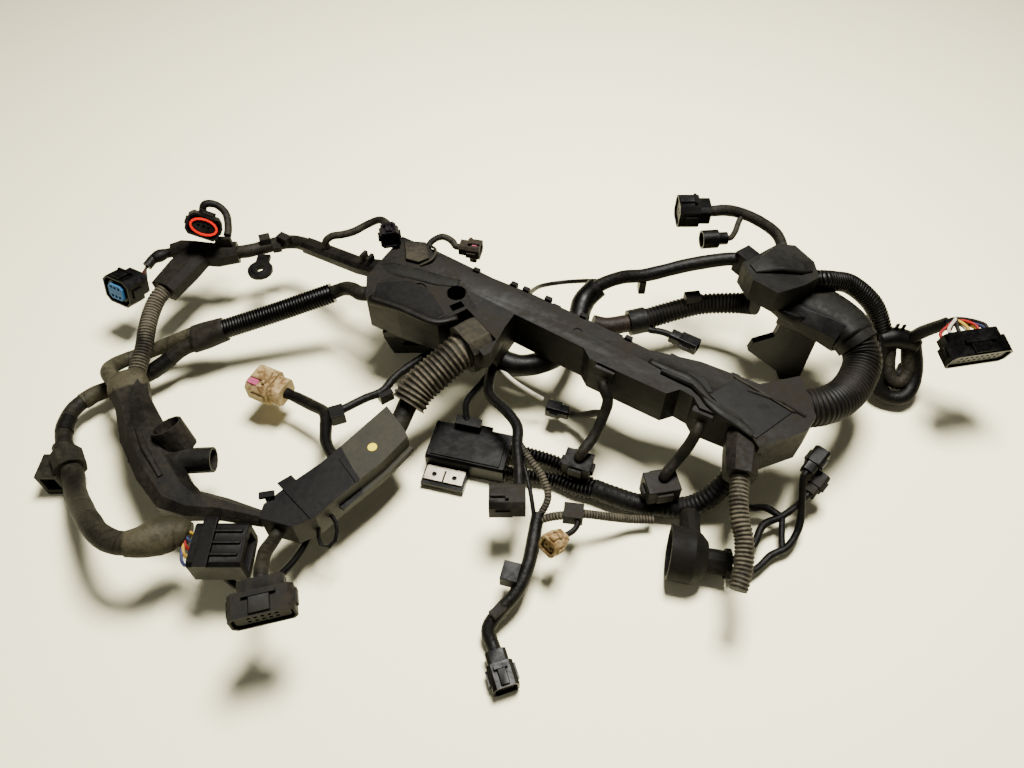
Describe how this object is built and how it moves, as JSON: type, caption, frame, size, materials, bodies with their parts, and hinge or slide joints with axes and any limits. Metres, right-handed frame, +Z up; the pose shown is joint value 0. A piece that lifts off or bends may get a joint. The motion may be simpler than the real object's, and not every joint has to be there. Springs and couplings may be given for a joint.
{
  "type": "vehicle wiring harness",
  "caption": "Branched vehicle wiring harness with moulded cable channels, ribbed conduits, taped looms, a relay box and plug connectors.",
  "frame": {"origin": "on the surface that the harness lies on, under the middle of its bounding box", "axes": "+X along the trunk channel from the socket holder side to the U shaped conduit side, +Y to the back of the layout, +Z up from the surface"},
  "size_m": [0.7774, 0.4123, 0.139],
  "materials": {
    "beige": "beige housing",
    "black": "matt black",
    "blue": "blue retainer",
    "collar": "dusty plastic clamp",
    "conduit": "dusty corrugated plastic",
    "dusty": "dusty moulded plastic",
    "grey": "grey housing",
    "loom": "wrapped tape, dusty",
    "metal": "plated terminal pads",
    "red": "red seal",
    "tape": "yellowed foam tape",
    "trough": "grey moulded plastic"
  },
  "bodies": {
    "root": {"trunk_cover": "dusty", "trunk_base": "black", "trunk_wire_bundle": "black", "outlet_collar": "collar", "ribbed_conduit": "loom", "trough_cover": "trough", "socket_holder": "grey", "thick_convoluted_tube": "conduit", "foam_bend": "tape", "left_loop": "loom", "left_clip_box": "grey", "block_connector": "black", "loop_cable": "black", "wide_grey_connector": "grey", "wide_connector_tail": "loom", "y_protector": "dusty", "drop_tube": "loom", "blue_face_connector": "black", "blue_retainer": "blue", "blue_lead": "black", "red_seal_connector": "grey", "red_seal": "red", "red_loop_cable": "loom", "bolt_ring": "black", "upper_taped_bundle": "dusty", "back_lead_left": "loom", "back_connector_left": "black", "back_lead_right": "loom", "back_connector_right": "grey", "rear_foot": "black", "beige_connector": "beige", "sleeved_lead": "black", "relay_box": "black", "terminal_pads": "metal", "power_conduits": "black", "branch_one": "loom", "small_black_connector": "black", "branch_two": "loom", "plug_block_one": "black", "plug_block_two": "grey", "centre_loom": "loom", "four_way_connector": "grey", "bottom_connector": "black", "two_way_connector": "beige", "drop_branch": "loom", "rubber_cap": "dusty", "thin_leads": "black", "black_plug": "black", "ribbed_plug": "grey", "upper_protector": "trough", "lower_protector": "black", "u_tube": "conduit", "right_loops": "black", "wide_black_connector": "black", "square_connector": "black", "round_connector": "black", "top_loom": "dusty", "back_tube": "black", "side_conduit": "conduit", "small_connector": "black"}
  },
  "joints": []
}
